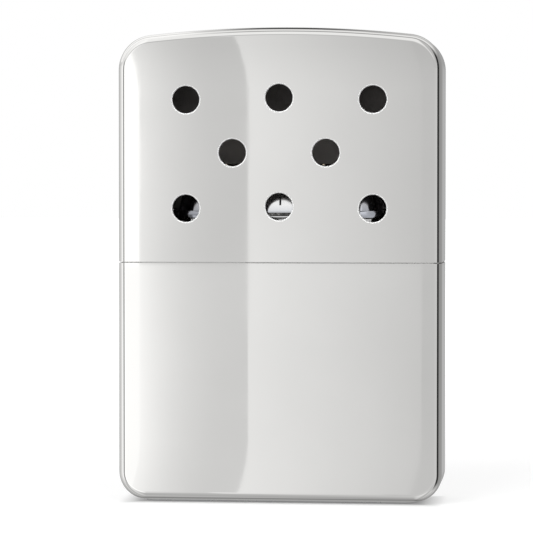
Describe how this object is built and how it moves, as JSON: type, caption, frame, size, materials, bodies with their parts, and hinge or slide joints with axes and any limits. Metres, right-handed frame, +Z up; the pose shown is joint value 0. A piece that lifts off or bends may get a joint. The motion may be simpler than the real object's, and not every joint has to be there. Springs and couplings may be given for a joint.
{
  "type": "catalytic hand warmer",
  "caption": "Slim pocket catalytic hand warmer: chromed cotton-packed tank, vented slip-on lid and lift-off burner holding a catalyst mat.",
  "frame": {"origin": "on the ground under the middle of the foot rim", "axes": "+Z up through the crowned lid, -Y towards the vented front, +X to the right seen from the front"},
  "size_m": [0.0508, 0.013, 0.0744],
  "materials": {
    "polished_chrome": "mirror-polished chrome plate",
    "satin_plate": "satin nickel-chrome plate",
    "burner_steel": "bright plated thin sheet, faint heat tint",
    "gauze_wire": "stainless wire gauze",
    "glass_fibre": "matted glass fibre, greyed by the catalyst",
    "cotton": "packed absorbent cotton"
  },
  "bodies": {
    "tank": {"tank_case": "polished_chrome", "tank_collar": "satin_plate", "neck": "satin_plate", "neck_wick": "cotton", "cotton_packing": "cotton"},
    "lid": {"lid_shell": "polished_chrome"},
    "burner": {"burner_skirt": "burner_steel", "mat_gauze": "gauze_wire", "catalyst_mat": "glass_fibre", "burner_cage": "burner_steel"}
  },
  "joints": [
    {"name": "lid_lift", "type": "slide", "parent": "tank", "child": "lid", "axis": [0, 0, 1], "range_m": [0, 0.04]},
    {"name": "burner_lift", "type": "slide", "parent": "tank", "child": "burner", "axis": [0, 0, 1], "range_m": [0, 0.012]}
  ]
}
